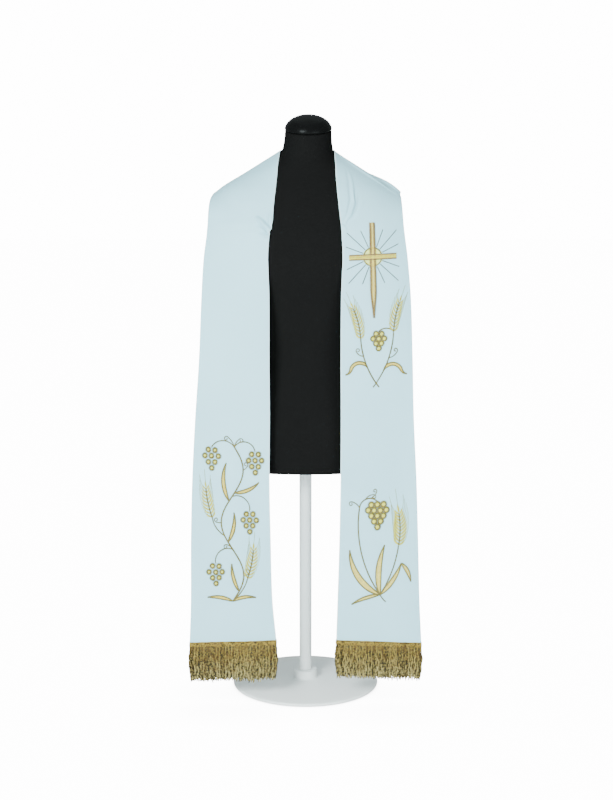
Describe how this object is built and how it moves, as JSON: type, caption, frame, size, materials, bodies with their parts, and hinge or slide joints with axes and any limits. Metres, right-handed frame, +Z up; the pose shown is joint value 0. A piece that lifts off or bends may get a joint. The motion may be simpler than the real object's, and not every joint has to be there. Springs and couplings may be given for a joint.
{
  "type": "clerical stole on a dress form",
  "caption": "Pale clerical stole with gold-embroidered fronts and fringed hems, worn by a limbless black dress form on a pole and round foot.",
  "frame": {"origin": "centre of the round foot's underside, on the floor", "axes": "+Z up, -Y the way the form and the stole's fronts face, +X the wearer's left"},
  "size_m": [0.4674, 0.3, 1.1692],
  "materials": {
    "ice_white_cloth": "smooth ice-white vestment cloth with a low satin sheen",
    "gold_bullion": "twisted gold bullion thread, partly metallic",
    "embroidery_thread": "gold machine embroidery in satin stitch",
    "black_jersey": "matte black jersey stretched over the form",
    "black_lacquer": "glossy black",
    "white_steel": "satin white powder coat"
  },
  "bodies": {
    "root": {"left_half": "ice_white_cloth", "right_half": "ice_white_cloth", "left_fringe": "gold_bullion", "right_fringe": "gold_bullion", "dress_form": "black_jersey", "neck_cap": "black_lacquer", "pole": "white_steel", "foot": "white_steel"}
  },
  "joints": []
}
